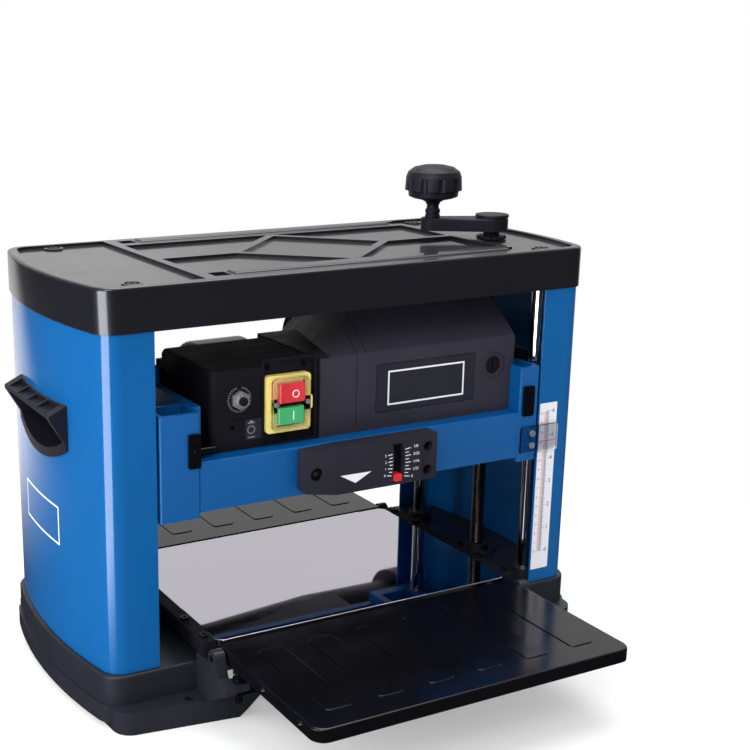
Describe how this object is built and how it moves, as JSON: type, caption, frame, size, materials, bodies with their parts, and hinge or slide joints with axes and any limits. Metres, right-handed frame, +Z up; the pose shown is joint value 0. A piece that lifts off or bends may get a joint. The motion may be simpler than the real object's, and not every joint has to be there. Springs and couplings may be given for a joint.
{
  "type": "thickness planer",
  "caption": "Bench thickness planer with folding infeed and outfeed tables, crank-raised cutter carriage on guide columns, polished bed, push-button switch, depth gauge and rear dust hood.",
  "frame": {"origin": "on the floor under the feet, midway between the two side shells and midway between their front and back planes", "axes": "+Z up; +X towards the side with the crank and height scale; +Y the way boards travel, from the infeed table to the outfeed table"},
  "size_m": [0.589, 0.59, 0.478],
  "materials": {
    "black_casting": "satin paint over cast metal",
    "bed_steel": "polished stainless sheet",
    "black_steel": "gloss paint",
    "blue_steel": "gloss paint",
    "blue_casting": "gloss paint",
    "black_moulding": "fine texture",
    "black_gloss_moulding": "semi gloss",
    "chromed_steel": "polished",
    "dark_screw_steel": "oiled",
    "zinc_steel": "zinc plated",
    "black_screws": "black oxide",
    "chain_steel": "oiled",
    "scale_label": "printed film",
    "yellow_plate": "satin",
    "clear_plastic": "clear moulded plastic",
    "red_button": "gloss",
    "green_button": "gloss",
    "black_plate": "blank plate with a plain border",
    "stator_steel": "laminated",
    "armature_steel": "ground and wound",
    "belt_rubber": "ribbed",
    "tool_steel": "ground",
    "bearing_steel": "ground",
    "bronze_bush": "turned",
    "roller_rubber": "ground rubber over steel",
    "cord_rubber": "matte",
    "deflector_steel": "plain sheet"
  },
  "bodies": {
    "frame": {"base_casting": "black_casting", "bed_plate": "bed_steel", "bed_side_strips": "black_moulding", "frame_screws": "black_screws", "left_side_shell": "blue_steel", "right_side_shell": "blue_steel", "left_handle": "black_moulding", "right_handle": "black_moulding", "top_cover": "black_gloss_moulding", "column_top_plates": "black_steel", "guide_columns": "chromed_steel", "screw_bearing_flanges": "black_casting", "sync_chain": "chain_steel", "height_scale": "scale_label", "infeed_hinge_brackets": "black_casting", "outfeed_hinge_brackets": "black_casting", "levelling_bolts": "black_screws"},
    "crank": {"crank_arm": "black_gloss_moulding", "crank_hub_cap": "black_gloss_moulding", "right_lead_screw": "dark_screw_steel", "right_sprocket": "chain_steel"},
    "knob": {"crank_knob": "black_moulding"},
    "left_screw": {"left_lead_screw": "dark_screw_steel", "left_sprocket": "chain_steel"},
    "carriage": {"carriage_casting": "blue_casting", "carriage_bushings": "bronze_bush", "lead_screw_nuts": "bronze_bush", "motor_housing": "black_moulding", "switch_housing": "black_moulding", "switch_plate": "yellow_plate", "button_guard": "clear_plastic", "breaker_nut": "chromed_steel", "rating_plates": "black_plate", "brush_caps": "black_screws", "motor_stator": "stator_steel", "side_brackets": "black_steel", "carriage_screws": "black_screws", "chip_deflector": "deflector_steel", "dust_hood": "black_gloss_moulding", "gauge_housing": "black_moulding", "height_pointer": "clear_plastic", "shaft_bearings": "bearing_steel", "roller_bearing_blocks": "bronze_bush", "drive_belt": "belt_rubber", "pawl_shaft": "zinc_steel", "power_cord": "cord_rubber"},
    "cutterhead": {"cutterhead_block": "tool_steel", "cutter_knives": "tool_steel", "knife_clamps": "tool_steel", "cutterhead_pulley": "bearing_steel"},
    "armature": {"motor_armature": "armature_steel"},
    "infeed_feed_roller": {"infeed_roller": "roller_rubber"},
    "outfeed_feed_roller": {"outfeed_roller": "roller_rubber"},
    "pawls": {"anti_kickback_pawls": "zinc_steel"},
    "gauge_lever": {"gauge_pointer": "red_button"},
    "stop_push": {"stop_button": "red_button"},
    "start_push": {"start_button": "green_button"},
    "breaker_push": {"breaker_button": "black_moulding"},
    "infeed_leaf": {"infeed_table": "black_steel"},
    "outfeed_leaf": {"outfeed_table": "black_steel"}
  },
  "joints": [
    {"name": "crank_turn", "type": "hinge", "parent": "frame", "child": "crank", "pos_m": [0.22, -0.027, 0.4], "axis": [0, 0, 1], "range_deg": [-19680, 6792]},
    {"name": "knob_spin", "type": "hinge", "parent": "crank", "child": "knob", "pos_m": [0.166, 0.004, 0.43], "axis": [0, 0, 1], "continuous": true},
    {"name": "left_screw_turn", "type": "hinge", "parent": "frame", "child": "left_screw", "pos_m": [-0.22, -0.027, 0.2], "axis": [0, 0, 1], "range_deg": [-19680, 6792]},
    {"name": "carriage_lift", "type": "slide", "parent": "frame", "child": "carriage", "axis": [0, 0, 1], "range_m": [-0.1093, 0.0377]},
    {"name": "cutterhead_spin", "type": "hinge", "parent": "carriage", "child": "cutterhead", "pos_m": [0, -0.018, 0.2153], "axis": [1, 0, 0], "continuous": true},
    {"name": "armature_spin", "type": "hinge", "parent": "carriage", "child": "armature", "pos_m": [0, -0.005, 0.288], "axis": [1, 0, 0], "continuous": true},
    {"name": "infeed_roller_spin", "type": "hinge", "parent": "carriage", "child": "infeed_feed_roller", "pos_m": [0, -0.074, 0.2025], "axis": [1, 0, 0], "continuous": true},
    {"name": "outfeed_roller_spin", "type": "hinge", "parent": "carriage", "child": "outfeed_feed_roller", "pos_m": [0, 0.042, 0.2025], "axis": [1, 0, 0], "continuous": true},
    {"name": "pawl_swing", "type": "hinge", "parent": "carriage", "child": "pawls", "pos_m": [0, -0.103, 0.228], "axis": [1, 0, 0], "range_deg": [0, 18]},
    {"name": "gauge_swing", "type": "hinge", "parent": "carriage", "child": "gauge_lever", "pos_m": [-0.0596, -0.141, 0.217], "axis": [0, -1, 0], "range_deg": [0, 18.5]},
    {"name": "stop_press", "type": "slide", "parent": "carriage", "child": "stop_push", "axis": [0, 1, 0], "range_m": [0, 0.003]},
    {"name": "start_press", "type": "slide", "parent": "carriage", "child": "start_push", "axis": [0, 1, 0], "range_m": [0, 0.003]},
    {"name": "breaker_press", "type": "slide", "parent": "carriage", "child": "breaker_push", "axis": [0, 1, 0], "range_m": [0, 0.003]},
    {"name": "infeed_fold", "type": "hinge", "parent": "frame", "child": "infeed_leaf", "pos_m": [0, -0.165, 0.067], "axis": [-1, 0, 0], "range_deg": [0, 90]},
    {"name": "outfeed_fold", "type": "hinge", "parent": "frame", "child": "outfeed_leaf", "pos_m": [0, 0.093, 0.067], "axis": [1, 0, 0], "range_deg": [0, 50]}
  ],
  "couplings": [
    {"joint": "crank_turn", "follows": "carriage_lift", "rad_per_m": 3141.6},
    {"joint": "left_screw_turn", "follows": "carriage_lift", "rad_per_m": 3141.6},
    {"joint": "armature_spin", "follows": "cutterhead_spin", "ratio": 1.3077},
    {"joint": "infeed_roller_spin", "follows": "cutterhead_spin", "ratio": -0.01},
    {"joint": "outfeed_roller_spin", "follows": "cutterhead_spin", "ratio": -0.01}
  ]
}
